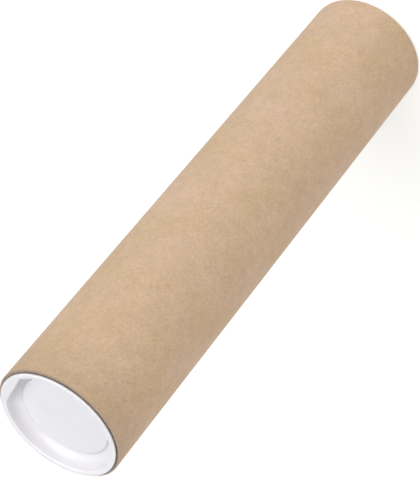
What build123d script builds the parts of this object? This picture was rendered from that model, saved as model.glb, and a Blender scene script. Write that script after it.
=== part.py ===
from build123d import *
import math
import os

# A cardboard mailing tube, closed at each end by a push-in plastic cap.
# It stands on its lower cap: +Z runs along the tube's axis, the origin is on
# the axis at the surface it stands on, and all sizes are in millimetres.

# Tube: kraft paper plies, wound in a spiral, glued into one wall and sawn square
BORE_DIAMETER = 50.8
TUBE_WALL = 2.1
TUBE_LENGTH = 254.0
SAWN_CORNER = 0.25            # rounding of the paper's outer corner at each cut end

# Cap flange: the part that stays outside and seats on the tube's cut end
FLANGE_THICKNESS = 1.4
FLANGE_OVERLAP = 0.7          # how far it reaches out over the tube's wall
SEAT_LAND = 0.15              # width of its underside that meets the cut end
RIM_LIFT = 0.45               # its outer edge stands this much off the cut end
RIM_ROUNDING = 0.35           # round of the flange's outer edge
LIP_ROUNDING = 0.8            # round of the edge around the recess

# Cap plug: the part inside the bore, a shallow bowl with gripping beads
PLUG_CLEARANCE = 0.6          # bore to plug wall
BEAD_CLEARANCE = 0.05         # bore to the crest of a bead
BEAD_COUNT = 2
FIRST_BEAD_DEPTH = 0.95       # below the cut end
BEAD_PITCH = 1.3
PLUG_WALL = 1.0               # at the recess's mouth
LEAD_IN = 2.2                 # radius of the plug's lower corner

# Cap recess: the bowl's inside, open to the outside for a finger
RECESS_DEPTH = 5.5
FLOOR_THICKNESS = 1.2
SHOULDER_DEPTH = 2.4          # where the straight wall turns into the curved foot
SHOULDER_INSET = 0.45         # draft of the straight wall, mouth to shoulder
FOOT_INSET = 4.0              # mouth to the foot of the curved wall
FLOOR_STEP = 0.3              # the floor's round panel stands this much above the foot
STEP_GAP = 0.3                # flat groove between the foot and the panel's edge
THUMB_FLAT_INSET = 2.0        # mouth to the flat that cuts off one side of it, at +X
THUMB_FLAT_DEPTH = 5.4        # below the flange's face, where it is lost in the curved wall

bore_radius = BORE_DIAMETER / 2
tube_radius = bore_radius + TUBE_WALL
plug_radius = bore_radius - PLUG_CLEARANCE
bead_height = PLUG_CLEARANCE - BEAD_CLEARANCE
flange_radius = bore_radius + FLANGE_OVERLAP
mouth_radius = plug_radius - PLUG_WALL
floor_level = FLANGE_THICKNESS - RECESS_DEPTH
tube_bottom = FLANGE_THICKNESS
tube_top = tube_bottom + TUBE_LENGTH


def make_tube():
    """The paper tube: one wall, with its outer corners a little rounded."""
    wall = Cylinder(tube_radius, TUBE_LENGTH) - Cylinder(bore_radius, TUBE_LENGTH)
    outer_corners = wall.edges().filter_by(GeomType.CIRCLE)
    outer_corners = outer_corners.filter_by(lambda edge: edge.radius > bore_radius + TUBE_WALL / 2)
    wall = fillet(outer_corners, SAWN_CORNER)
    return Pos(0, 0, tube_bottom + TUBE_LENGTH / 2) * wall


def quarter_arc(start, centre, end):
    """The short arc about centre from start to end, a quarter turn apart."""
    radius = math.dist(start, centre)
    middle_x = (start[0] + end[0]) / 2 - centre[0]
    middle_y = (start[1] + end[1]) / 2 - centre[1]
    stretch = radius / math.hypot(middle_x, middle_y)
    middle = (centre[0] + middle_x * stretch, centre[1] + middle_y * stretch)
    return ThreePointArc(start, middle, end)


def make_cap_section():
    """Half of the cap's section: X is the radius, and Y = 0 is the tube's cut end."""
    plug_bottom = floor_level - FLOOR_THICKNESS
    axis_bottom = (0, plug_bottom)
    lead_in_start = (plug_radius - LEAD_IN, plug_bottom)
    lead_in_centre = (plug_radius - LEAD_IN, plug_bottom + LEAD_IN)
    lead_in_end = (plug_radius, plug_bottom + LEAD_IN)
    flange_root = (plug_radius, 0)

    # the underside slopes away from its seat, so only the land touches the paper
    seat_edge = (bore_radius + SEAT_LAND, 0)
    rim_bottom = (flange_radius, RIM_LIFT)
    rim_centre = (flange_radius - RIM_ROUNDING, FLANGE_THICKNESS - RIM_ROUNDING)
    rim_side = (flange_radius, rim_centre[1])
    rim_end = (rim_centre[0], FLANGE_THICKNESS)

    lip_start = (mouth_radius + LIP_ROUNDING, FLANGE_THICKNESS)
    lip_centre = (mouth_radius + LIP_ROUNDING, FLANGE_THICKNESS - LIP_ROUNDING)
    lip_end = (mouth_radius, FLANGE_THICKNESS - LIP_ROUNDING)
    shoulder = (mouth_radius - SHOULDER_INSET, FLANGE_THICKNESS - SHOULDER_DEPTH)
    wall_direction = (shoulder[0] - lip_end[0], shoulder[1] - lip_end[1])

    foot = (mouth_radius - FOOT_INSET, floor_level - FLOOR_STEP)
    groove_end = (foot[0] - STEP_GAP, foot[1])
    step_centre = (groove_end[0] - FLOOR_STEP, groove_end[1])
    floor_edge = (step_centre[0], floor_level)
    axis_top = (0, floor_level)

    outline = [
        Line(axis_bottom, lead_in_start),
        quarter_arc(lead_in_start, lead_in_centre, lead_in_end),
        Line(lead_in_end, flange_root),
        Line(flange_root, seat_edge),
        Line(seat_edge, rim_bottom),
        Line(rim_bottom, rim_side),
        quarter_arc(rim_side, rim_centre, rim_end),
        Line(rim_end, lip_start),
        quarter_arc(lip_start, lip_centre, lip_end),
        Line(lip_end, shoulder),
        TangentArc(shoulder, foot, tangent=wall_direction),
        Line(foot, groove_end),
        quarter_arc(groove_end, step_centre, floor_edge),
        Line(floor_edge, axis_top),
        Line(axis_top, axis_bottom),
    ]
    return make_face(Curve() + outline)


def make_thumb_flat():
    """The segment of plastic that fills the recess beyond the flat, at +X."""
    flat_reach = mouth_radius - THUMB_FLAT_INSET
    top_radius = plug_radius - 0.1
    foot_radius = plug_radius - 0.8
    flat_bottom = FLANGE_THICKNESS - THUMB_FLAT_DEPTH
    profile = Polyline(
        (flat_reach - 1, flat_bottom), (foot_radius, flat_bottom), (foot_radius, -1),
        (top_radius, -1), (top_radius, FLANGE_THICKNESS), (flat_reach - 1, FLANGE_THICKNESS),
        close=True,
    )
    ring = revolve(Plane.XZ * make_face(profile), Axis.Z, 360)
    beyond_flat = Pos(flat_reach + BORE_DIAMETER / 2, 0, 0) * Box(BORE_DIAMETER, BORE_DIAMETER, BORE_DIAMETER)
    return ring & beyond_flat


def make_cap():
    """One cap, flange up, with the tube's cut end at Z = 0."""
    cap = revolve(Plane.XZ * make_cap_section(), Axis.Z, 360)
    cap += make_thumb_flat()
    for index in range(BEAD_COUNT):
        depth = FIRST_BEAD_DEPTH + index * BEAD_PITCH
        cap += Pos(0, 0, -depth) * Torus(plug_radius, bead_height)
    return cap


tube = make_tube()
top_cap = Pos(0, 0, tube_top) * make_cap()
bottom_cap = Pos(0, 0, tube_bottom) * Rot(180, 0, 0) * make_cap()

os.makedirs("parts", exist_ok=True)
export_step(tube, "parts/tube.step")
export_step(top_cap, "parts/top_cap.step")
export_step(bottom_cap, "parts/bottom_cap.step")
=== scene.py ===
import bpy
import math
from mathutils import Matrix, Vector


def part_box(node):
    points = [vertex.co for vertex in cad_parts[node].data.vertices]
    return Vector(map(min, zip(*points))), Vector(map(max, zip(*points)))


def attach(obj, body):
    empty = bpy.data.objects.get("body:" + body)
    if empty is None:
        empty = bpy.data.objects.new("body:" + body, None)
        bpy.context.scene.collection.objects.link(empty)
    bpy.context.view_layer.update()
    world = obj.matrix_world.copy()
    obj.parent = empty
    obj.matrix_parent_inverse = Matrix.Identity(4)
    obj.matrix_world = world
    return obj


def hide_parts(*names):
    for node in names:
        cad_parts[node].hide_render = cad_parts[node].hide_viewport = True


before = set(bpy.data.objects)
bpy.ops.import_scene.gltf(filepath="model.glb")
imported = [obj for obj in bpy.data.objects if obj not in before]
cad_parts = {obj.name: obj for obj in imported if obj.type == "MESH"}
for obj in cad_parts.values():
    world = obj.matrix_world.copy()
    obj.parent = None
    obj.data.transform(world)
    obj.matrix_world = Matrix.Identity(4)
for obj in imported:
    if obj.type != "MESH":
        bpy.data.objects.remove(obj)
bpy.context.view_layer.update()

MM = 0.001


# ------------------------------------------------------------------ paper tube
# A tube of unbleached kraft paper, 2 in inside. Strips of paper are glued over
# one another in a spiral on a mandrel, and the hard wall that they make is sawn
# square at both ends. The edges of the outermost strip meet in one fine seam.

tube_low, tube_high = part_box("tube")
OUTSIDE_RADIUS = tube_high.x
WALL = 2.1 * MM
BORE_RADIUS = OUTSIDE_RADIUS - WALL
CORNER = 0.25 * MM                       # rounding of the paper at the saw cut

STRIP_WIDTH = 100 * MM
SEAM_START = 31 * MM                     # height of the seam on the +X side
SEAM_DEPTH = 0.05 * MM
SEAM_REACH = 0.3 * MM                    # half the width of the seam's groove
STRIP_ROWS = 24                          # rows of faces across a strip, closest at its seams
COLUMNS = 288                            # of faces, round the tube

PLIES = 9
PLY_GLUE_LINE = 0.05 * MM                # width and depth of the nick between two plies
SAW_ROUGHNESS = 0.06 * MM
FIBRE_LENGTH = 0.5 * MM
FIBRE_THICKNESS = 0.05 * MM              # twice a real fibre, so that it shows
FIBRES_PER_MM2 = 14
FIBRE_SEED = 7
WELD = 0.002 * MM                        # points closer than this are joined
CREASE_ANGLE = math.radians(35)          # faces that meet at more than this keep a crisp edge

circumference = 2 * math.pi * OUTSIDE_RADIUS
seam_angle = math.asin(STRIP_WIDTH / circumference)      # above a level line
SEAM_RISE = circumference * math.tan(seam_angle)         # in one turn


def add_node(tree, kind, inputs=None, **settings):
    """Adds a node, sets or links its shown inputs by name or by place, and returns its first output."""
    node = tree.nodes.new(kind)
    for name, value in settings.items():
        setattr(node, name, value)
    shown = [socket for socket in node.inputs if socket.enabled]
    for key, value in (inputs or {}).items():
        socket = shown[key] if isinstance(key, int) else next(s for s in shown if s.name == key)
        if isinstance(value, list):
            for source in value:
                tree.links.new(source, socket)
        elif isinstance(value, bpy.types.NodeSocket):
            tree.links.new(value, socket)
        else:
            socket.default_value = value
    return next((socket for socket in node.outputs if socket.enabled), None)


def new_shape_tree(name, inputs):
    """An empty Geometry Nodes tree with these named inputs, and the sockets that they arrive at."""
    tree = bpy.data.node_groups.new(name, "GeometryNodeTree")
    for label, kind in inputs.items():
        tree.interface.new_socket(label, in_out="INPUT", socket_type="NodeSocket" + kind)
    tree.interface.new_socket("Shape", in_out="OUTPUT", socket_type="NodeSocketGeometry")
    return tree, tree.nodes.new("NodeGroupInput").outputs


def arc(centre, radius, start, end, steps):
    """Points of a section's arc, from one angle to the other in degrees, as (radius, height)."""
    angles = [math.radians(start + (end - start) * step / steps) for step in range(steps + 1)]
    return [(centre[0] + radius * math.cos(a), centre[1] + radius * math.sin(a)) for a in angles]


def drawn_section(name, points):
    """A half section, drawn as a chain of edges in the XZ plane."""
    mesh = bpy.data.meshes.new(name)
    edges = [(i, i + 1) for i in range(len(points) - 1)]
    mesh.from_pydata([(r, 0, z) for r, z in points], edges, [])
    return mesh


def built(name, base, tree, sizes):
    """A plain mesh object: what the tree makes of the base mesh with these sizes."""
    piece = bpy.data.objects.new(name, base)
    bpy.context.scene.collection.objects.link(piece)
    modifier = piece.modifiers.new("shape", "NODES")
    modifier.node_group = tree
    for item in tree.interface.items_tree:
        if item.in_out == "INPUT" and item.name in sizes:
            modifier[item.identifier] = sizes[item.name]
    depsgraph = bpy.context.evaluated_depsgraph_get()
    mesh = bpy.data.meshes.new_from_object(piece.evaluated_get(depsgraph), depsgraph=depsgraph)
    piece.modifiers.clear()
    piece.data = mesh
    mesh.name = name
    return piece


def flat_sheet(tree, columns, lines):
    """A sheet of faces to be wrapped round the axis, and each point's share of its width and height."""
    column_lines = add_node(tree, "ShaderNodeMath", {0: columns, 1: 1.0}, operation="ADD")
    sheet = add_node(tree, "GeometryNodeMeshGrid",
                     {"Size X": 1.0, "Size Y": 1.0, "Vertices X": column_lines, "Vertices Y": lines})
    from_corner = add_node(tree, "ShaderNodeVectorMath", {
        0: add_node(tree, "GeometryNodeInputPosition"), 1: (0.5, 0.5, 0)}, operation="ADD")
    share = add_node(tree, "ShaderNodeSeparateXYZ", {"Vector": from_corner}).node.outputs
    return sheet, share["X"], share["Y"]


def carried_round(tree, place, turns):
    """A place, carried round the tube's axis by so many turns."""
    angle = add_node(tree, "ShaderNodeMath", {0: turns, 1: 2 * math.pi}, operation="MULTIPLY")
    return add_node(tree, "ShaderNodeVectorRotate",
                    {"Vector": place, "Center": (0, 0, 0), "Angle": angle}, rotation_type="Z_AXIS")


def off_axis(tree, place):
    """The level line from the tube's axis out to a place, and its length."""
    outward = add_node(tree, "ShaderNodeVectorMath", {0: place, 1: (1, 1, 0)}, operation="MULTIPLY")
    return outward, add_node(tree, "ShaderNodeVectorMath", {0: outward}, operation="LENGTH")


# Turning: the section's points are carried round the axis, column by column.
turning, given = new_shape_tree("turned_section", {"Section": "Geometry", "Columns": "Int"})
rows = add_node(turning, "GeometryNodeAttributeDomainSize", {"Geometry": given["Section"]})
last_row = add_node(turning, "ShaderNodeMath", {0: rows, 1: 1.0}, operation="SUBTRACT")
sheet, turns_round, share_up = flat_sheet(turning, given["Columns"], rows)
row = add_node(turning, "ShaderNodeMath", {0: share_up, 1: last_row}, operation="MULTIPLY")
section_point = add_node(turning, "GeometryNodeSampleIndex", {
    "Geometry": given["Section"], "Value": add_node(turning, "GeometryNodeInputPosition"),
    "Index": add_node(turning, "ShaderNodeMath", {0: row}, operation="ROUND")},
    data_type="FLOAT_VECTOR", domain="POINT")
turned = carried_round(turning, section_point, turns_round)
placed = add_node(turning, "GeometryNodeSetPosition", {"Geometry": sheet, "Position": turned})
closed = add_node(turning, "GeometryNodeMergeByDistance", {"Geometry": placed, "Distance": WELD})
add_node(turning, "NodeGroupOutput", {"Shape": closed})

# Shading: smooth, with a crisp edge wherever two faces meet at more than an angle.
shading, given = new_shape_tree("smooth_with_crisp_edges", {"Shape": "Geometry", "Crease Angle": "Float"})
smooth = add_node(shading, "GeometryNodeSetShadeSmooth", {"Geometry": given["Shape"]})
sharp = add_node(shading, "FunctionNodeCompare", {
    "A": add_node(shading, "GeometryNodeInputMeshEdgeAngle"), "B": given["Crease Angle"]},
    data_type="FLOAT", operation="GREATER_THAN")
crisp = add_node(shading, "GeometryNodeSetShadeSmooth",
                 {"Geometry": smooth, "Selection": sharp, "Shade Smooth": False}, domain="EDGE")
add_node(shading, "NodeGroupOutput", {"Shape": crisp})

# Winding: a wall whose rows run along the strips, and are cut level at both ends.
# CLOSENESS is how near the rows beside a seam lie, as a share of even spacing.
CLOSENESS = 0.03
winding, given = new_shape_tree("wound_wall", {
    "Radius": "Float", "Low End": "Float", "High End": "Float", "Seam Start": "Float",
    "Seam Rise": "Float", "First Strip": "Int", "Strips": "Int", "Rows": "Int", "Columns": "Int"})
row_lines = add_node(winding, "ShaderNodeMath",
                     {0: given["Strips"], 1: given["Rows"], 2: 1.0}, operation="MULTIPLY_ADD")
sheet, turns_round, share_up = flat_sheet(winding, given["Columns"], row_lines)
strip = add_node(winding, "ShaderNodeMath",
                 {0: share_up, 1: given["Strips"], 2: given["First Strip"]}, operation="MULTIPLY_ADD")
seam = add_node(winding, "ShaderNodeMath", {0: strip}, operation="ROUND")
beside = add_node(winding, "ShaderNodeMath", {0: strip, 1: seam}, operation="SUBTRACT")
squared = add_node(winding, "ShaderNodeMath", {0: beside, 1: beside}, operation="MULTIPLY")
spread = add_node(winding, "ShaderNodeMath",
                  {0: squared, 1: 4 * (1 - CLOSENESS), 2: CLOSENESS}, operation="MULTIPLY_ADD")
from_seam = add_node(winding, "ShaderNodeMath", {0: beside, 1: spread, 2: seam}, operation="MULTIPLY_ADD")
turns = add_node(winding, "ShaderNodeMath", {0: from_seam, 1: turns_round}, operation="ADD")
height = add_node(winding, "ShaderNodeMath",
                  {0: turns, 1: given["Seam Rise"], 2: given["Seam Start"]}, operation="MULTIPLY_ADD")
level = add_node(winding, "ShaderNodeClamp",
                 {"Value": height, "Min": given["Low End"], "Max": given["High End"]})
on_wall = add_node(winding, "ShaderNodeCombineXYZ", {"X": given["Radius"], "Z": level})
wound = carried_round(winding, on_wall, turns_round)
add_node(winding, "NodeGroupOutput",
         {"Shape": add_node(winding, "GeometryNodeSetPosition", {"Geometry": sheet, "Position": wound})})

# Sawing: the turned end face, roughened by the saw, with loose fibres beyond the
# cap's flange, which sits on the clean inner edge. Fibres lean back to the axis.
CLEAN_EDGE = 0.3 * MM                    # width of the smooth ring beside the bore
EDGE_FADE = 0.3 * MM                     # width of the next, over which the tears set in
SKIN_FADE = 0.04 * MM                    # width of the last, over which they end
TEAR_SIZE = 0.9 * MM
FIBRES_FROM, FIBRES_UP_TO = 0.75 * MM, 0.2 * MM        # out from the bore, in from the skin
FIBRE_LEAN, FIBRE_LIFT = 0.95, 0.5       # shares of its heading, inward and away from the cut
FIBRE_STRAY = (0.65, 0.65, 0.5)          # how far its heading strays at most, each way
SHORTEST_FIBRE = 0.35                    # share of the longest
sawing, given = new_shape_tree("sawn_end", {
    "Section": "Geometry", "Columns": "Int", "Bore Radius": "Float", "Outside Radius": "Float",
    "Roughness": "Float", "Fibre Density": "Float", "Fibre Length": "Float",
    "Fibre Thickness": "Float", "Seed": "Int"})
face = add_node(sawing, "GeometryNodeGroup",
                {"Section": given["Section"], "Columns": given["Columns"]}, node_tree=turning)
on_face = add_node(sawing, "GeometryNodeInputPosition")
outward, radius = off_axis(sawing, on_face)
tears_start = add_node(sawing, "ShaderNodeMath", {0: given["Bore Radius"], 1: CLEAN_EDGE}, operation="ADD")
tears_full = add_node(sawing, "ShaderNodeMath", {0: tears_start, 1: EDGE_FADE}, operation="ADD")
off_the_edge = add_node(sawing, "ShaderNodeMapRange",
                        {"Value": radius, "From Min": tears_start, "From Max": tears_full})
tears_fade = add_node(sawing, "ShaderNodeMath",
                      {0: given["Outside Radius"], 1: SKIN_FADE}, operation="SUBTRACT")
off_the_skin = add_node(sawing, "ShaderNodeMapRange", {
    "Value": radius, "From Min": tears_fade, "From Max": given["Outside Radius"],
    "To Min": 1.0, "To Max": 0.0})
tearing = add_node(sawing, "ShaderNodeTexNoise",
                   {"Vector": on_face, "Scale": 1 / TEAR_SIZE, "Detail": 3.0, "Roughness": 0.65})
depth = tearing
for factor in (given["Roughness"], off_the_edge, off_the_skin, -1.0):
    depth = add_node(sawing, "ShaderNodeMath", {0: depth, 1: factor}, operation="MULTIPLY")
pushed_in = add_node(sawing, "ShaderNodeVectorMath", {
    "Vector": add_node(sawing, "GeometryNodeInputNormal"), "Scale": depth}, operation="SCALE")
rough_face = add_node(sawing, "GeometryNodeSetPosition", {"Geometry": face, "Offset": pushed_in})

ring_start = add_node(sawing, "ShaderNodeMath", {0: given["Bore Radius"], 1: FIBRES_FROM}, operation="ADD")
ring_end = add_node(sawing, "ShaderNodeMath",
                    {0: given["Outside Radius"], 1: FIBRES_UP_TO}, operation="SUBTRACT")
beyond_flange = add_node(sawing, "FunctionNodeCompare", {"A": radius, "B": ring_start},
                         data_type="FLOAT", operation="GREATER_THAN")
within_skin = add_node(sawing, "FunctionNodeCompare", {"A": radius, "B": ring_end},
                       data_type="FLOAT", operation="LESS_THAN")
in_ring = add_node(sawing, "FunctionNodeBooleanMath", {0: beyond_flange, 1: within_skin}, operation="AND")
roots = add_node(sawing, "GeometryNodeDistributePointsOnFaces", {
    "Mesh": rough_face, "Selection": in_ring, "Density": given["Fibre Density"], "Seed": given["Seed"]},
    distribute_method="RANDOM")
lean = add_node(sawing, "ShaderNodeVectorMath", {
    "Vector": add_node(sawing, "ShaderNodeVectorMath", {0: outward}, operation="NORMALIZE"),
    "Scale": -FIBRE_LEAN}, operation="SCALE")
stray = add_node(sawing, "FunctionNodeRandomValue", {
    "Min": tuple(-most for most in FIBRE_STRAY), "Max": FIBRE_STRAY, "Seed": given["Seed"]},
    data_type="FLOAT_VECTOR")
heading = add_node(sawing, "ShaderNodeVectorMath", {0: stray, 1: lean}, operation="ADD")
heading = add_node(sawing, "ShaderNodeVectorMath", {0: heading, 1: (0, 0, FIBRE_LIFT)}, operation="ADD")
fibre = add_node(sawing, "GeometryNodeMeshCone", {
    "Vertices": 3, "Radius Top": 0.0, "Depth": given["Fibre Length"],
    "Radius Bottom": add_node(sawing, "ShaderNodeMath",
                              {0: given["Fibre Thickness"], 1: 0.5}, operation="MULTIPLY")})
fibres = add_node(sawing, "GeometryNodeInstanceOnPoints", {
    "Points": roots, "Instance": fibre,
    "Rotation": add_node(sawing, "FunctionNodeAlignRotationToVector", {"Vector": heading}, axis="Z"),
    "Scale": add_node(sawing, "FunctionNodeRandomValue",
                      {"Min": SHORTEST_FIBRE, "Max": 1.0, "Seed": given["Seed"]}, data_type="FLOAT")})
add_node(sawing, "NodeGroupOutput", {"Shape": add_node(sawing, "GeometryNodeJoinGeometry", {
    "Geometry": [rough_face, add_node(sawing, "GeometryNodeRealizeInstances", {"Geometry": fibres})]})})

# The tube: two walls and two sawn ends, welded into one closed skin. The seam is
# pressed in afterwards, so that it runs on over the rounded corners.
tube_tree, given = new_shape_tree("paper_tube", {
    "Section": "Geometry", "Columns": "Int", "Rows": "Int", "Outside Radius": "Float",
    "Bore Radius": "Float", "Corner": "Float", "Low End": "Float", "High End": "Float",
    "Seam Start": "Float", "Seam Rise": "Float", "Strip Width": "Float", "First Strip": "Int",
    "Strips": "Int", "Seam Depth": "Float", "Seam Reach": "Float", "Roughness": "Float",
    "Fibre Density": "Float", "Fibre Length": "Float", "Fibre Thickness": "Float", "Seed": "Int",
    "Crease Angle": "Float", "Kraft Paper": "Material", "Sawn Paper": "Material"})
strips = {name: given[name]
          for name in ("Seam Start", "Seam Rise", "First Strip", "Strips", "Rows", "Columns")}
skin_low = add_node(tube_tree, "ShaderNodeMath",
                    {0: given["Low End"], 1: given["Corner"]}, operation="ADD")
skin_high = add_node(tube_tree, "ShaderNodeMath",
                     {0: given["High End"], 1: given["Corner"]}, operation="SUBTRACT")
skin = add_node(tube_tree, "GeometryNodeGroup", {
    "Radius": given["Outside Radius"], "Low End": skin_low, "High End": skin_high, **strips},
    node_tree=winding)
bore = add_node(tube_tree, "GeometryNodeGroup", {
    "Radius": given["Bore Radius"], "Low End": given["Low End"], "High End": given["High End"], **strips},
    node_tree=winding)
walls = add_node(tube_tree, "GeometryNodeSetMaterial", {
    "Material": given["Kraft Paper"], "Geometry": add_node(tube_tree, "GeometryNodeJoinGeometry", {
        "Geometry": [skin, add_node(tube_tree, "GeometryNodeFlipFaces", {"Mesh": bore})]})})
cut = {name: given[name]
       for name in ("Section", "Columns", "Bore Radius", "Outside Radius", "Roughness",
                    "Fibre Density", "Fibre Length", "Fibre Thickness")}
next_seed = add_node(tube_tree, "ShaderNodeMath", {0: given["Seed"], 1: 1.0}, operation="ADD")
top_cut = add_node(tube_tree, "GeometryNodeTransform", {
    "Geometry": add_node(tube_tree, "GeometryNodeGroup", {"Seed": given["Seed"], **cut}, node_tree=sawing),
    "Translation": add_node(tube_tree, "ShaderNodeCombineXYZ", {"Z": given["High End"]})})
bottom_cut = add_node(tube_tree, "GeometryNodeTransform", {
    "Geometry": add_node(tube_tree, "GeometryNodeGroup", {"Seed": next_seed, **cut}, node_tree=sawing),
    "Translation": add_node(tube_tree, "ShaderNodeCombineXYZ", {"Z": given["Low End"]}),
    "Rotation": (math.pi, 0, 0)})
cuts = add_node(tube_tree, "GeometryNodeSetMaterial", {
    "Material": given["Sawn Paper"],
    "Geometry": add_node(tube_tree, "GeometryNodeJoinGeometry", {"Geometry": [top_cut, bottom_cut]})})
welded = add_node(tube_tree, "GeometryNodeMergeByDistance", {
    "Distance": WELD,
    "Geometry": add_node(tube_tree, "GeometryNodeJoinGeometry", {"Geometry": [walls, cuts]})})

place = add_node(tube_tree, "GeometryNodeInputPosition")
xyz = add_node(tube_tree, "ShaderNodeSeparateXYZ", {"Vector": place}).node.outputs
bearing = add_node(tube_tree, "ShaderNodeMath", {0: xyz["Y"], 1: xyz["X"]}, operation="ARCTAN2")
above_start = add_node(tube_tree, "ShaderNodeMath",
                       {0: xyz["Z"], 1: given["Seam Start"]}, operation="SUBTRACT")
turns_up = add_node(tube_tree, "ShaderNodeMath",
                    {0: above_start, 1: given["Seam Rise"]}, operation="DIVIDE")
turns = add_node(tube_tree, "ShaderNodeMath",
                 {0: bearing, 1: -1 / (2 * math.pi), 2: turns_up}, operation="MULTIPLY_ADD")
off_seam = add_node(tube_tree, "ShaderNodeMath", {0: turns, 1: 0.5}, operation="PINGPONG")
off_seam = add_node(tube_tree, "ShaderNodeMath",
                    {0: off_seam, 1: given["Strip Width"]}, operation="MULTIPLY")
groove = add_node(tube_tree, "ShaderNodeMapRange", {
    "Value": off_seam, "From Min": 0.0, "From Max": given["Seam Reach"],
    "To Min": given["Seam Depth"], "To Max": 0.0}, interpolation_type="SMOOTHSTEP")
outward, radius = off_axis(tube_tree, place)
skin_edge = add_node(tube_tree, "ShaderNodeMath",
                     {0: given["Outside Radius"], 1: given["Corner"]}, operation="SUBTRACT")
on_skin = add_node(tube_tree, "ShaderNodeMapRange",
                   {"Value": radius, "From Min": skin_edge, "From Max": given["Outside Radius"]})
inward = add_node(tube_tree, "ShaderNodeMath", {0: groove, 1: on_skin}, operation="MULTIPLY")
inward = add_node(tube_tree, "ShaderNodeMath", {0: inward, 1: -1.0}, operation="MULTIPLY")
pressed = add_node(tube_tree, "ShaderNodeVectorMath", {
    "Vector": add_node(tube_tree, "ShaderNodeVectorMath", {0: outward}, operation="NORMALIZE"),
    "Scale": inward}, operation="SCALE")
grooved = add_node(tube_tree, "GeometryNodeSetPosition", {"Geometry": welded, "Offset": pressed})
shaded = add_node(tube_tree, "GeometryNodeGroup",
                  {"Shape": grooved, "Crease Angle": given["Crease Angle"]}, node_tree=shading)
add_node(tube_tree, "NodeGroupOutput",
         {"Shape": add_node(tube_tree, "GeometryNodeRealizeInstances", {"Geometry": shaded})})


def linear(hex_colour):
    """An sRGB hex colour as the linear RGBA that shaders take."""
    channels = [int(hex_colour[i:i + 2], 16) / 255 for i in (1, 3, 5)]
    return (*[c / 12.92 if c <= 0.04045 else ((c + 0.055) / 1.055) ** 2.4 for c in channels], 1)


def new_material(name):
    """A material's tree, its Principled BSDF's inputs, and Object coordinates in metres."""
    material = bpy.data.materials.new(name)
    material.use_nodes = True
    tree = material.node_tree
    place = add_node(tree, "ShaderNodeTexCoord").node.outputs["Object"]
    return material, tree, tree.nodes["Principled BSDF"].inputs, place


# Unbleached kraft paper: a matt skin of brown wood fibres, curled in tangles, and
# the longest along the strip. The eye sees a fine cloudy mottle, short pale fibres,
# a few dark flecks of bark, broad patches of warmer and cooler brown, a faint seam,
# and an upper end that is a little darker.
MOTTLE_LENGTH, MOTTLE_WIDTH = 1.5 * MM, 0.85 * MM      # of one small cloud of fibres
CLOUD_SIZE, PATCH_SIZE = 5 * MM, 26 * MM
TANGLE_SIZE = 3 * MM
CURLS = 6.5                              # lines of curled fibre across a tangle
DARKER_END_LENGTH = 24 * MM                 # of the upper end
PALE_FIBRE_LENGTH, PALE_FIBRE_WIDTH = 4.5 * MM, 0.9 * MM   # of the cell round each
FLECK_SPACING = 4 * MM
kraft_paper, tree, shader, place = new_material("unbleached_kraft_paper")
xyz = add_node(tree, "ShaderNodeSeparateXYZ", {"Vector": place}).node.outputs
bearing = add_node(tree, "ShaderNodeMath", {0: xyz["Y"], 1: xyz["X"]}, operation="ARCTAN2")
turns_round = add_node(tree, "ShaderNodeMath", {0: bearing, 1: 1 / (2 * math.pi)}, operation="MULTIPLY")
turns_up = add_node(tree, "ShaderNodeMath",
                    {0: xyz["Z"], 1: 1 / SEAM_RISE, 2: -SEAM_START / SEAM_RISE}, operation="MULTIPLY_ADD")
turns = add_node(tree, "ShaderNodeMath", {0: turns_up, 1: turns_round}, operation="SUBTRACT")
strip = add_node(tree, "ShaderNodeMath", {0: turns}, operation="FLOOR")
across = add_node(tree, "ShaderNodeMath", {0: turns, 1: strip}, operation="SUBTRACT")
across = add_node(tree, "ShaderNodeMath", {0: across, 1: STRIP_WIDTH}, operation="MULTIPLY")
all_turns = add_node(tree, "ShaderNodeMath", {0: turns_round, 1: strip}, operation="ADD")
climb = add_node(tree, "ShaderNodeMath", {0: xyz["Z"], 1: math.sin(seam_angle)}, operation="MULTIPLY")
run_per_turn = circumference * math.cos(seam_angle)
along = add_node(tree, "ShaderNodeMath", {0: all_turns, 1: run_per_turn, 2: climb}, operation="MULTIPLY_ADD")
on_strip = add_node(tree, "ShaderNodeCombineXYZ", {"X": along, "Y": across})

stretched = add_node(tree, "ShaderNodeVectorMath",
                     {0: on_strip, 1: (1 / MOTTLE_LENGTH, 1 / MOTTLE_WIDTH, 1)}, operation="MULTIPLY")
mottle = add_node(tree, "ShaderNodeTexNoise",
                  {"Vector": stretched, "Scale": 1.0, "Detail": 3.0, "Roughness": 0.62, "Distortion": 0.4})
patches = add_node(tree, "ShaderNodeTexNoise",
                   {"Vector": place, "Scale": 1 / PATCH_SIZE, "Detail": 2.5, "Roughness": 0.55})
clouds = add_node(tree, "ShaderNodeTexNoise",
                  {"Vector": place, "Scale": 1 / CLOUD_SIZE, "Detail": 2.0, "Roughness": 0.5})
patch_share = add_node(tree, "ShaderNodeMapRange", {"Value": patches, "From Min": 0.36, "From Max": 0.64})
colour = add_node(tree, "ShaderNodeMix", {
    "Factor": patch_share, "A": linear("#BC9F7F"), "B": linear("#C1A38A")}, data_type="RGBA")

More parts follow.
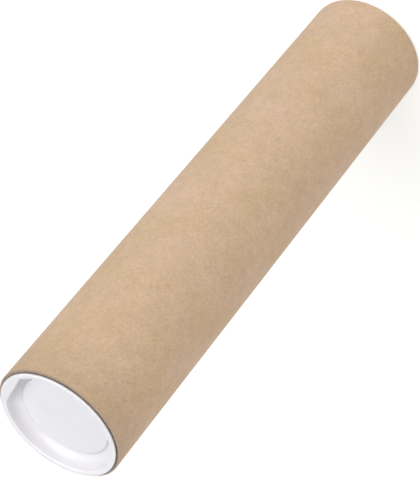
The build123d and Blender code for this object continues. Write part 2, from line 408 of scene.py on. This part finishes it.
tone = add_node(tree, "ShaderNodeMapRange",
                {"Value": mottle, "From Min": 0.25, "From Max": 0.75, "To Min": 0.9, "To Max": 1.1})
cloud_tone = add_node(tree, "ShaderNodeMapRange",
                      {"Value": clouds, "From Min": 0.3, "From Max": 0.7, "To Min": 0.955, "To Max": 1.04})
tangle = add_node(tree, "ShaderNodeTexNoise",
                  {"Vector": place, "Scale": 1 / TANGLE_SIZE, "Detail": 1.5, "Distortion": 0.8})
tangle = add_node(tree, "ShaderNodeMath", {0: tangle, 1: CURLS}, operation="MULTIPLY")
curled_fibres = add_node(tree, "ShaderNodeMath", {0: tangle, 1: 0.5}, operation="PINGPONG")
curl_tone = add_node(tree, "ShaderNodeMapRange", {
    "Value": curled_fibres, "From Min": 0.0, "From Max": 0.5, "To Min": 0.93, "To Max": 1.05})
# the paper is made a little darker towards its upper end
upper_end_tone = add_node(tree, "ShaderNodeMapRange", {
    "Value": xyz["Z"], "From Min": tube_high.z - DARKER_END_LENGTH, "From Max": tube_high.z,
    "To Min": 1.0, "To Max": 0.88})
for other_tone in (cloud_tone, curl_tone, upper_end_tone):
    tone = add_node(tree, "ShaderNodeMath", {0: tone, 1: other_tone}, operation="MULTIPLY")
colour = add_node(tree, "ShaderNodeVectorMath", {"Vector": colour, "Scale": tone}, operation="SCALE")

# pale fibres: thin cells stretched along the strip, one in four of which holds a fibre
stretched = add_node(tree, "ShaderNodeVectorMath", {
    0: on_strip, 1: (1 / PALE_FIBRE_LENGTH, 1 / PALE_FIBRE_WIDTH, 1)}, operation="MULTIPLY")
fibre_cells = add_node(tree, "ShaderNodeTexVoronoi",
                       {"Vector": stretched, "Scale": 1.0}, voronoi_dimensions="2D")
fibre_pick = add_node(tree, "ShaderNodeSeparateColor", {"Color": fibre_cells.node.outputs["Color"]})
fibre_width = add_node(tree, "ShaderNodeMapRange", {
    "Value": fibre_pick, "From Min": 0.75, "From Max": 1.0, "To Min": 0.0, "To Max": 0.3})
pale = add_node(tree, "ShaderNodeMath", {0: fibre_width, 1: fibre_cells}, operation="SUBTRACT")
pale = add_node(tree, "ShaderNodeMapRange",
                {"Value": pale, "From Min": 0.0, "From Max": 0.25, "To Min": 0.0, "To Max": 0.28})
colour = add_node(tree, "ShaderNodeMix", {"Factor": pale, "A": colour, "B": linear("#DCC7B0")},
                  data_type="RGBA")

# dark flecks: up to 0.7 mm across, about one to a square centimetre
fleck_cells = add_node(tree, "ShaderNodeTexVoronoi", {"Vector": place, "Scale": 1 / FLECK_SPACING})
fleck_pick = add_node(tree, "ShaderNodeSeparateColor", {"Color": fleck_cells.node.outputs["Color"]})
fleck_width = add_node(tree, "ShaderNodeMapRange", {
    "Value": fleck_pick, "From Min": 0.0, "From Max": 1.0, "To Min": 0.02, "To Max": 0.09})
dark = add_node(tree, "ShaderNodeMath", {0: fleck_width, 1: fleck_cells}, operation="SUBTRACT")
dark = add_node(tree, "ShaderNodeMapRange",
                {"Value": dark, "From Min": 0.0, "From Max": 0.03, "To Min": 0.0, "To Max": 0.45})
colour = add_node(tree, "ShaderNodeMix", {"Factor": dark, "A": colour, "B": linear("#735439")},
                  data_type="RGBA")

off_seam = add_node(tree, "ShaderNodeMath", {0: turns, 1: 0.5}, operation="PINGPONG")
seam_line = add_node(tree, "ShaderNodeMapRange", {
    "Value": off_seam, "From Min": 0.0, "From Max": SEAM_REACH / STRIP_WIDTH,
    "To Min": 0.12, "To Max": 0.0})
colour = add_node(tree, "ShaderNodeMix", {"Factor": seam_line, "A": colour, "B": linear("#8E6B49")},
                  data_type="RGBA")
tree.links.new(colour, shader["Base Color"])

relief = add_node(tree, "ShaderNodeMath", {0: pale, 1: 0.8, 2: mottle}, operation="MULTIPLY_ADD")
tree.links.new(add_node(tree, "ShaderNodeBump", {
    "Height": relief, "Strength": 0.35, "Distance": 0.1 * MM}), shader["Normal"])
dullness = add_node(tree, "ShaderNodeMapRange", {
    "Value": mottle, "From Min": 0.3, "From Max": 0.7, "To Min": 0.56, "To Max": 0.68})
tree.links.new(dullness, shader["Roughness"])
shader["IOR"].default_value = 1.5
shader["Specular IOR Level"].default_value = 0.2
shader["Sheen Weight"].default_value = 0.015
shader["Sheen Roughness"].default_value = 0.5
shader["Sheen Tint"].default_value = linear("#F4F0EE")

# Sawn paperboard: the plies' cut edges, greyer and duller than the skin, with a
# dark glue line between each two and a torn, woolly grain. Painted shade darkens
# it in the crease beside the flange, out to a ragged edge.
WOOL_SIZE = 0.5 * MM
SHADE_EDGE_SIZE = 1.1 * MM
SHADE_EDGE_SPREAD = 1.6 * MM                 # how far the painted shade's dark edge wanders
PAINTED_SHADE_FROM, PAINTED_SHADE_UP_TO = -0.2 * MM, 0.5 * MM        # out from the bore, where the painted shade fades
sawn_paper, tree, shader, place = new_material("sawn_paperboard")
radius = off_axis(tree, place)[1]
ply = add_node(tree, "ShaderNodeMath",
               {0: radius, 1: PLIES / WALL, 2: -BORE_RADIUS * PLIES / WALL}, operation="MULTIPLY_ADD")
ply_number = add_node(tree, "ShaderNodeMath", {0: ply}, operation="FLOOR")
ply_tone = add_node(tree, "ShaderNodeTexWhiteNoise", {"W": ply_number}, noise_dimensions="1D")
colour = add_node(tree, "ShaderNodeMix", {
    "Factor": ply_tone, "A": linear("#9E8672"), "B": linear("#AA927C")}, data_type="RGBA")
grain = add_node(tree, "ShaderNodeTexNoise",
                 {"Vector": place, "Scale": 1 / WOOL_SIZE, "Detail": 3.0, "Roughness": 0.7})
tone = add_node(tree, "ShaderNodeMapRange",
                {"Value": grain, "From Min": 0.3, "From Max": 0.7, "To Min": 0.84, "To Max": 1.12})
colour = add_node(tree, "ShaderNodeVectorMath", {"Vector": colour, "Scale": tone}, operation="SCALE")
glue_share = PLY_GLUE_LINE * PLIES / WALL
glue = add_node(tree, "ShaderNodeMapRange", {
    "Value": add_node(tree, "ShaderNodeMath", {0: ply, 1: 0.5}, operation="PINGPONG"),
    "From Min": 0.0, "From Max": glue_share, "To Min": 0.35, "To Max": 0.0})
colour = add_node(tree, "ShaderNodeMix", {"Factor": glue, "A": colour, "B": linear("#7E6A58")},
                  data_type="RGBA")
# painted shade: the sawn end is darkened in the crease beside the flange, out to a ragged edge
shade_edge_noise = add_node(tree, "ShaderNodeTexNoise", {"Vector": place, "Scale": 1 / SHADE_EDGE_SIZE, "Detail": 2.0})
shade_edge_place = add_node(tree, "ShaderNodeMath",
                        {0: shade_edge_noise, 1: -SHADE_EDGE_SPREAD, 2: radius}, operation="MULTIPLY_ADD")
painted_crease_shade = add_node(tree, "ShaderNodeMapRange", {
    "Value": shade_edge_place, "From Min": BORE_RADIUS + PAINTED_SHADE_FROM, "From Max": BORE_RADIUS + PAINTED_SHADE_UP_TO,
    "To Min": 0.7, "To Max": 0.0}, interpolation_type="SMOOTHSTEP")
colour = add_node(tree, "ShaderNodeMix", {"Factor": painted_crease_shade, "A": colour, "B": linear("#57473A")},
                  data_type="RGBA")
tree.links.new(colour, shader["Base Color"])
tree.links.new(add_node(tree, "ShaderNodeBump", {
    "Height": grain, "Strength": 0.6, "Distance": 0.15 * MM}), shader["Normal"])
shader["Roughness"].default_value = 0.92
shader["IOR"].default_value = 1.5
shader["Sheen Weight"].default_value = 0.2
shader["Sheen Roughness"].default_value = 0.6

# The end face's section, from the rounded corner of the skin in to the bore, at
# height 0: each ply ends in a nick where the glue line was.
ply_thickness = WALL / PLIES
sawn_section = arc((OUTSIDE_RADIUS - CORNER, -CORNER), CORNER, 0, 90, 5)
for number in range(PLIES - 1, 0, -1):
    glue_line = BORE_RADIUS + number * ply_thickness
    if glue_line < OUTSIDE_RADIUS - CORNER - PLY_GLUE_LINE:
        sawn_section += [(glue_line + PLY_GLUE_LINE / 2, 0), (glue_line, -PLY_GLUE_LINE),
                         (glue_line - PLY_GLUE_LINE / 2, 0)]
sawn_section.append((BORE_RADIUS, 0))

first_strip = math.floor((tube_low.z - SEAM_START) / SEAM_RISE) - 1
last_strip = math.ceil((tube_high.z - SEAM_START) / SEAM_RISE)
tube = built("kraft_paper_tube", drawn_section("sawn_section", sawn_section), tube_tree, {
    "Columns": COLUMNS, "Rows": STRIP_ROWS, "Outside Radius": OUTSIDE_RADIUS, "Bore Radius": BORE_RADIUS,
    "Corner": CORNER, "Low End": tube_low.z, "High End": tube_high.z, "Seam Start": SEAM_START,
    "Seam Rise": SEAM_RISE, "Strip Width": STRIP_WIDTH, "First Strip": first_strip,
    "Strips": last_strip - first_strip, "Seam Depth": SEAM_DEPTH, "Seam Reach": SEAM_REACH,
    "Roughness": SAW_ROUGHNESS, "Fibre Density": FIBRES_PER_MM2 / MM**2, "Fibre Length": FIBRE_LENGTH,
    "Fibre Thickness": FIBRE_THICKNESS, "Seed": FIBRE_SEED, "Crease Angle": CREASE_ANGLE,
    "Kraft Paper": kraft_paper, "Sawn Paper": sawn_paper})
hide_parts("tube")
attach(tube, "tube")


# -------------------------------------------------------------------- end caps
# Two equal caps of white low-density polyethylene, injection moulded: a flange
# that sits on the cut paper, a plug with two gripping beads, and a shallow bowl
# for a fingertip with a raised round panel as its floor.

top_low, top_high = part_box("top_cap")
FLANGE_RADIUS = top_high.x
FLANGE_THICKNESS = top_high.z - tube_high.z
SEAT_WIDTH = 0.15 * MM                   # of the underside, where it meets the paper
RIM_LIFT, RIM_ROUNDING, LIP_ROUNDING = 0.45 * MM, 0.35 * MM, 0.8 * MM
RIM_EDGE = 0.1 * MM                      # rounding of the rim's lower edge

PLUG_CLEARANCE = 0.6 * MM
PLUG_RADIUS = BORE_RADIUS - PLUG_CLEARANCE
PLUG_BOTTOM = top_low.z - tube_high.z
LEAD_IN = 2.2 * MM                       # rounding of the plug's lower corner
BEAD_HEIGHT = 0.55 * MM
BEAD_DEPTHS = (2.25 * MM, 0.95 * MM)
GATE_RADIUS, GATE_DEPTH = 1.6 * MM, 0.3 * MM           # of the dimple round the gate mark
NUB_RADIUS, NUB_TIP_RADIUS = 0.45 * MM, 0.36 * MM      # of the snapped-off gate itself
NUB_INSET = 0.05 * MM                    # from the plug's underside in to its tip

PLUG_WALL = 1.0 * MM
MOUTH_RADIUS = PLUG_RADIUS - PLUG_WALL
SHOULDER_INSET, SHOULDER_DEPTH = 0.45 * MM, 2.4 * MM   # where the straight wall starts to curve
RECESS_DEPTH = 5.5 * MM
PANEL_HEIGHT = FLANGE_THICKNESS - RECESS_DEPTH
PANEL_ROUNDING = 0.4 * MM
FOOT_INSET = 4.0 * MM
GROOVE_DEPTH, GROOVE_WIDTH = 0.55 * MM, 0.4 * MM       # between the foot and the panel
FLAT_INSET = 2.0 * MM                    # from the mouth to the thumb flat, on the +X side
FLAT_ROUNDING = 0.25 * MM
FLAT_BLEND = 4.5 * MM                    # of one end, +Y on the upper cap, into the curved wall
FLAT_STOP = 0.12 * MM                    # its height above the panel, at its foot
SINK_DEPTH, SINK_SIZE = 0.02 * MM, 12 * MM
HAIR = 0.01 * MM                         # a margin too small to see
CAP_COLUMNS = 288                        # of faces, round a cap

# the bowl's wall runs straight to its shoulder, then curves to the foot
shoulder = (MOUTH_RADIUS - SHOULDER_INSET, FLANGE_THICKNESS - SHOULDER_DEPTH)
foot = (MOUTH_RADIUS - FOOT_INSET, PANEL_HEIGHT - GROOVE_DEPTH)
wall_run = Vector(shoulder) - Vector((MOUTH_RADIUS, FLANGE_THICKNESS - LIP_ROUNDING))
wall_side = Vector((wall_run.y, -wall_run.x)).normalized()
to_foot = Vector(foot) - Vector(shoulder)
bowl_radius = to_foot.length_squared / (2 * to_foot.dot(wall_side))
bowl_centre = Vector(shoulder) + wall_side * bowl_radius
bowl_start, bowl_end = (math.degrees(math.atan2(y - bowl_centre.y, x - bowl_centre.x))
                        for x, y in (shoulder, foot))

# from the axis under the floor, out, up and back over the flange into the bowl,
# with a few rings of faces across the flat underside and across the panel
UNDERSIDE_RINGS = (0.3, 0.6)             # shares of the plug's radius
PANEL_RINGS = (0.7, 0.5, 0.3, 0.12, 0)   # shares of the mouth's radius
nub_tip = PLUG_BOTTOM + NUB_INSET
cap_section = [(0, nub_tip), (NUB_TIP_RADIUS, nub_tip), (NUB_RADIUS, PLUG_BOTTOM + GATE_DEPTH)]
cap_section += arc((GATE_RADIUS - GATE_DEPTH, PLUG_BOTTOM), GATE_DEPTH, 90, 0, 4)
cap_section += [(share * PLUG_RADIUS, PLUG_BOTTOM) for share in UNDERSIDE_RINGS]
cap_section += arc((PLUG_RADIUS - LEAD_IN, PLUG_BOTTOM + LEAD_IN), LEAD_IN, -90, 0, 12)
for depth in BEAD_DEPTHS:
    cap_section += arc((PLUG_RADIUS, -depth), BEAD_HEIGHT, -90, 90, 10)
cap_section += [(PLUG_RADIUS, 0), (BORE_RADIUS + SEAT_WIDTH, 0)]
cap_section += arc((FLANGE_RADIUS - RIM_EDGE, RIM_LIFT + RIM_EDGE), RIM_EDGE, -60, 0, 4)
rim_centre = (FLANGE_RADIUS - RIM_ROUNDING, FLANGE_THICKNESS - RIM_ROUNDING)
cap_section += arc(rim_centre, RIM_ROUNDING, 0, 90, 8)
lip_centre = (MOUTH_RADIUS + LIP_ROUNDING, FLANGE_THICKNESS - LIP_ROUNDING)
cap_section += arc(lip_centre, LIP_ROUNDING, 90, 180, 12)
cap_section += arc(bowl_centre, bowl_radius, bowl_start, bowl_end, 24)
groove_end = foot[0] - GROOVE_WIDTH
cap_section.append((groove_end, foot[1]))
cap_section += arc((groove_end - PANEL_ROUNDING, PANEL_HEIGHT - PANEL_ROUNDING), PANEL_ROUNDING, 0, 90, 6)
cap_section += [(share * MOUTH_RADIUS, PANEL_HEIGHT) for share in PANEL_RINGS]

# Moulding: the turned section, with its recess filled beyond the thumb flat, which
# blends at one end into the curved wall. The faces are slightly sunk, as the
# plastic shrank, and the cap is then set in place.
moulding, given = new_shape_tree("moulded_cap", {
    "Section": "Geometry", "Columns": "Int", "Seat Height": "Float", "Turn Over": "Vector",
    "Thumb Flat": "Float", "Flat Rounding": "Float", "Flat Blend": "Float", "Face Height": "Float",
    "Lip Edge": "Float", "Bowl Bottom": "Float", "Sink": "Float", "Sink Size": "Float",
    "Crease Angle": "Float", "Polyethylene": "Material"})
cap_shape = add_node(moulding, "GeometryNodeGroup",
                     {"Section": given["Section"], "Columns": given["Columns"]}, node_tree=turning)
place = add_node(moulding, "GeometryNodeInputPosition")
xyz = add_node(moulding, "ShaderNodeSeparateXYZ", {"Vector": place}).node.outputs
rounding_start = add_node(moulding, "ShaderNodeMath",
                          {0: given["Face Height"], 1: given["Flat Rounding"]}, operation="SUBTRACT")
rise = add_node(moulding, "ShaderNodeMath", {0: xyz["Z"], 1: rounding_start}, operation="SUBTRACT")
rise = add_node(moulding, "ShaderNodeMath", {0: rise, 1: 0.0}, operation="MAXIMUM")
rise_squared = add_node(moulding, "ShaderNodeMath", {0: rise, 1: rise}, operation="MULTIPLY")
run_squared = add_node(moulding, "ShaderNodeMath",
                       {0: given["Flat Rounding"], 1: given["Flat Rounding"]}, operation="MULTIPLY")
run_squared = add_node(moulding, "ShaderNodeMath", {0: run_squared, 1: rise_squared}, operation="SUBTRACT")
run = add_node(moulding, "ShaderNodeMath", {0: run_squared}, operation="SQRT")
set_back = add_node(moulding, "ShaderNodeMath", {0: given["Flat Rounding"], 1: run}, operation="SUBTRACT")
wall_x = add_node(moulding, "ShaderNodeMath", {0: given["Thumb Flat"], 1: set_back}, operation="ADD")
blend = add_node(moulding, "ShaderNodeMapRange", {
    "Value": xyz["Y"], "From Min": 0.0, "From Max": given["Lip Edge"],
    "To Min": 0.0, "To Max": given["Flat Blend"]})
blend = add_node(moulding, "ShaderNodeMath", {0: blend, 1: HAIR}, operation="MAXIMUM")
filled_x = add_node(moulding, "ShaderNodeMath", {0: xyz["X"], 1: wall_x, 2: blend}, operation="SMOOTH_MIN")
radius = off_axis(moulding, place)[1]
inside_lip = add_node(moulding, "ShaderNodeMath", {0: radius, 1: given["Lip Edge"]}, operation="LESS_THAN")
in_bowl = add_node(moulding, "ShaderNodeMath",
                   {0: xyz["Z"], 1: given["Bowl Bottom"]}, operation="GREATER_THAN")
in_recess = add_node(moulding, "ShaderNodeMath", {0: inside_lip, 1: in_bowl}, operation="MULTIPLY")
fill = add_node(moulding, "ShaderNodeMath", {0: filled_x, 1: xyz["X"]}, operation="SUBTRACT")
fill = add_node(moulding, "ShaderNodeMath", {0: fill, 1: in_recess}, operation="MULTIPLY")
cap_shape = add_node(moulding, "GeometryNodeSetPosition", {
    "Geometry": cap_shape, "Offset": add_node(moulding, "ShaderNodeCombineXYZ", {"X": fill})})
waves = add_node(moulding, "ShaderNodeTexNoise", {
    "Scale": add_node(moulding, "ShaderNodeMath", {0: 1.0, 1: given["Sink Size"]}, operation="DIVIDE"),
    "Detail": 1.0})
sunk = add_node(moulding, "ShaderNodeMath", {0: waves, 1: given["Sink"]}, operation="MULTIPLY")
cap_shape = add_node(moulding, "GeometryNodeSetPosition", {
    "Geometry": cap_shape, "Offset": add_node(moulding, "ShaderNodeVectorMath", {
        "Vector": add_node(moulding, "GeometryNodeInputNormal"),
        "Scale": add_node(moulding, "ShaderNodeMath", {0: sunk, 1: -1.0}, operation="MULTIPLY")},
        operation="SCALE")})
cap_shape = add_node(moulding, "GeometryNodeTransform", {
    "Geometry": cap_shape, "Rotation": given["Turn Over"],
    "Translation": add_node(moulding, "ShaderNodeCombineXYZ", {"Z": given["Seat Height"]})})
cap_shape = add_node(moulding, "GeometryNodeGroup",
                     {"Shape": cap_shape, "Crease Angle": given["Crease Angle"]}, node_tree=shading)
cap_shape = add_node(moulding, "GeometryNodeRealizeInstances", {"Geometry": cap_shape})
add_node(moulding, "NodeGroupOutput", {"Shape": add_node(moulding, "GeometryNodeSetMaterial", {
    "Geometry": cap_shape, "Material": given["Polyethylene"]})})

# Low-density polyethylene: waxy cool white, satin, and a little translucent, so
# its shadows are soft and pale. The mould's fine spark-eroded grain dulls it, and
# painted shade greys the groove round the floor's panel, most of it on the -X side.
HAZE_SIZE = 7 * MM
SPARK_GRAIN = 0.25 * MM                  # coarser than a real one, so that it shows
SHADE_STRONGEST_X, SHADE_WEAKEST_X = -4 * MM, 12 * MM    # along X, where the painted shade starts and stops to thin
GROOVE_SHADE_FULL, GROOVE_SHADE_GONE = 0.1 * MM, 0.9 * MM              # to each side of the groove
polyethylene, tree, shader, place = new_material("low_density_polyethylene")
haze = add_node(tree, "ShaderNodeTexNoise", {"Vector": place, "Scale": 1 / HAZE_SIZE, "Detail": 2.0})
colour = add_node(tree, "ShaderNodeMix", {
    "Factor": haze, "A": linear("#E0DBDC"), "B": linear("#E3DEDF")}, data_type="RGBA")
# painted shade: greys the groove round the floor's panel, most of it on the -X side
groove_radius = foot[0] - GROOVE_WIDTH / 4
off_groove = add_node(tree, "ShaderNodeMath",
                      {0: off_axis(tree, place)[1], 1: groove_radius}, operation="SUBTRACT")
off_groove = add_node(tree, "ShaderNodeMath", {0: off_groove}, operation="ABSOLUTE")
across_cap = add_node(tree, "ShaderNodeSeparateXYZ", {"Vector": place})
strongest_groove_shade = add_node(tree, "ShaderNodeMapRange", {
    "Value": across_cap, "From Min": SHADE_STRONGEST_X, "From Max": SHADE_WEAKEST_X, "To Min": 0.38, "To Max": 0.1})
painted_groove_shade = add_node(tree, "ShaderNodeMapRange", {
    "Value": off_groove, "From Min": GROOVE_SHADE_FULL, "From Max": GROOVE_SHADE_GONE,
    "To Min": strongest_groove_shade, "To Max": 0.0}, interpolation_type="SMOOTHSTEP")
colour = add_node(tree, "ShaderNodeMix", {"Factor": painted_groove_shade, "A": colour, "B": linear("#B4B2B6")},
                  data_type="RGBA")
tree.links.new(colour, shader["Base Color"])
mould_grain = add_node(tree, "ShaderNodeTexNoise",
                       {"Vector": place, "Scale": 1 / SPARK_GRAIN, "Detail": 2.0, "Roughness": 0.6})
tree.links.new(add_node(tree, "ShaderNodeBump", {
    "Height": mould_grain, "Strength": 0.12, "Distance": 0.02 * MM}), shader["Normal"])
dullness = add_node(tree, "ShaderNodeMapRange", {
    "Value": haze, "From Min": 0.3, "From Max": 0.7, "To Min": 0.32, "To Max": 0.4})
tree.links.new(dullness, shader["Roughness"])
shader["IOR"].default_value = 1.51
shader["Subsurface Weight"].default_value = 0.7
shader["Subsurface Radius"].default_value = (1.0, 1.0, 1.0)
shader["Subsurface Scale"].default_value = 1.6 * MM

for node, seat_height, turn_over in (("top_cap", tube_high.z, 0.0), ("bottom_cap", tube_low.z, math.pi)):
    cap = built("polyethylene_" + node, drawn_section("cap_section", cap_section), moulding, {
        "Columns": CAP_COLUMNS, "Seat Height": seat_height, "Turn Over": (turn_over, 0.0, 0.0),
        "Thumb Flat": MOUTH_RADIUS - FLAT_INSET, "Flat Rounding": FLAT_ROUNDING, "Flat Blend": FLAT_BLEND,
        "Face Height": FLANGE_THICKNESS, "Lip Edge": MOUTH_RADIUS + LIP_ROUNDING - HAIR,
        "Bowl Bottom": PANEL_HEIGHT + FLAT_STOP, "Sink": SINK_DEPTH, "Sink Size": SINK_SIZE,
        "Crease Angle": CREASE_ANGLE, "Polyethylene": polyethylene})
    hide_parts(node)
    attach(cap, node)


# ----------------------------------------------------------------------- studio
# A light table of white opal acrylic, lit from below so that hardly a shadow
# shows, in a white room that is brightest near the horizon. A large soft lamp
# stands in front and above, and a weaker, cooler one low down behind.

# Opal acrylic: smooth, matt and milky, so that it hides its own lamps and glows
# evenly. Its colour is the small share that it reflects, and the glow is the rest.
TABLE_REACH = 20                         # metres from the tube to the table's edge
OPAL_GLOW = 0.76                         # light that comes up through the table
CLOUDS_PER_METRE = 9.0
opal_acrylic, tree, shader, place = new_material("opal_acrylic_light_table")
cloudiness = add_node(tree, "ShaderNodeTexNoise",
                      {"Vector": place, "Scale": CLOUDS_PER_METRE, "Detail": 2.0})
colour = add_node(tree, "ShaderNodeMix", {
    "Factor": cloudiness, "A": linear("#8E8E8E"), "B": linear("#909090")}, data_type="RGBA")
tree.links.new(colour, shader["Base Color"])
shader["Roughness"].default_value = 0.8
shader["Emission Color"].default_value = linear("#FFFDF8")
shader["Emission Strength"].default_value = OPAL_GLOW

table_top = bpy.data.meshes.new("light_table")
corners = [(x * TABLE_REACH, y * TABLE_REACH, 0) for x, y in ((-1, -1), (1, -1), (1, 1), (-1, 1))]
table_top.from_pydata(corners, [], [(0, 1, 2, 3)])
table_top.materials.append(opal_acrylic)
table = bpy.data.objects.new("light_table", table_top)
bpy.context.scene.collection.objects.link(table)

# the room's light by direction: OVERHEAD straight up, and HORIZON at the table's
# edge, less FLAG_SHARE of it towards the dark flag and more by as much away from it
OVERHEAD, HORIZON, FALL_OFF, FLAG_SHARE = 0.12, 0.9, 2.0, 0.88
FLAG_BEARING = math.radians(84)          # bearings run from -Y towards +X
room = bpy.data.worlds.new("white_room")
bpy.context.scene.world = room
room.use_nodes = True
tree = room.node_tree
direction = add_node(tree, "ShaderNodeTexCoord").node.outputs["Generated"]
climb = add_node(tree, "ShaderNodeSeparateXYZ", {"Vector": direction}).node.outputs["Z"]
climb = add_node(tree, "ShaderNodeMath", {0: climb}, operation="ABSOLUTE")
low_share = add_node(tree, "ShaderNodeMath", {0: 1.0, 1: climb}, operation="SUBTRACT")
low_share = add_node(tree, "ShaderNodeMath", {0: low_share, 1: FALL_OFF}, operation="POWER")
to_flag = add_node(tree, "ShaderNodeVectorMath", {
    0: direction, 1: (math.sin(FLAG_BEARING), -math.cos(FLAG_BEARING), 0)}, operation="DOT_PRODUCT")
flagged = add_node(tree, "ShaderNodeMath", {0: to_flag, 1: -FLAG_SHARE, 2: 1.0}, operation="MULTIPLY_ADD")
band = add_node(tree, "ShaderNodeMath", {0: low_share, 1: flagged}, operation="MULTIPLY")
brightness = add_node(tree, "ShaderNodeMath",
                      {0: band, 1: HORIZON - OVERHEAD, 2: OVERHEAD}, operation="MULTIPLY_ADD")
background = tree.nodes["Background"].inputs
tree.links.new(brightness, background["Strength"])
background["Color"].default_value = linear("#FFFDF8")

LAMPS = {  # bearing, elevation and apparent size in degrees, watts per square metre, and colour
    "soft_key": (41.5, 55, 50, 3.5, "#F4FAFF"),
    "soft_back": (-132.5, 25, 60, 0.8, "#D8ECFF"),
}
for name, (bearing, elevation, width, strength, tint) in LAMPS.items():
    light = bpy.data.lights.new(name, "SUN")
    light.energy = strength
    light.angle = math.radians(width)
    light.color = linear(tint)[:3]
    lamp = bpy.data.objects.new(name, light)
    bpy.context.scene.collection.objects.link(lamp)
    across, up = math.radians(bearing), math.radians(elevation)
    towards = Vector((math.cos(up) * math.sin(across), -math.cos(up) * math.cos(across), math.sin(up)))
    lamp.matrix_world = towards.to_track_quat("Z", "Y").to_matrix().to_4x4()

# The camera looks down on the upper cap from in front, through a long lens. It is
# rolled so that the tube lies askew, with that cap at the lower left.
SENSOR_WIDTH, FOCAL_LENGTH = 36, 139.5   # in millimetres
CAMERA_PLACE = (0.00015, -0.62036, 0.60315)
CAMERA_HEADING = (-0.0001, 0.8026, -0.5965)
CAMERA_ROLL, CAMERA_BEARING = math.radians(-140.71), math.radians(-2.5)
lens = bpy.data.cameras.new("camera")
lens.sensor_width = SENSOR_WIDTH
lens.lens = FOCAL_LENGTH
camera = bpy.data.objects.new("camera", lens)
bpy.context.scene.collection.objects.link(camera)
heading = Vector(CAMERA_HEADING).to_track_quat("-Z", "Y").to_matrix().to_4x4()
camera.matrix_world = (Matrix.Rotation(CAMERA_BEARING, 4, "Z") @ Matrix.Translation(CAMERA_PLACE)
                       @ heading @ Matrix.Rotation(CAMERA_ROLL, 4, "Z"))
bpy.context.scene.camera = camera
bpy.context.scene.view_settings.view_transform = "Standard"
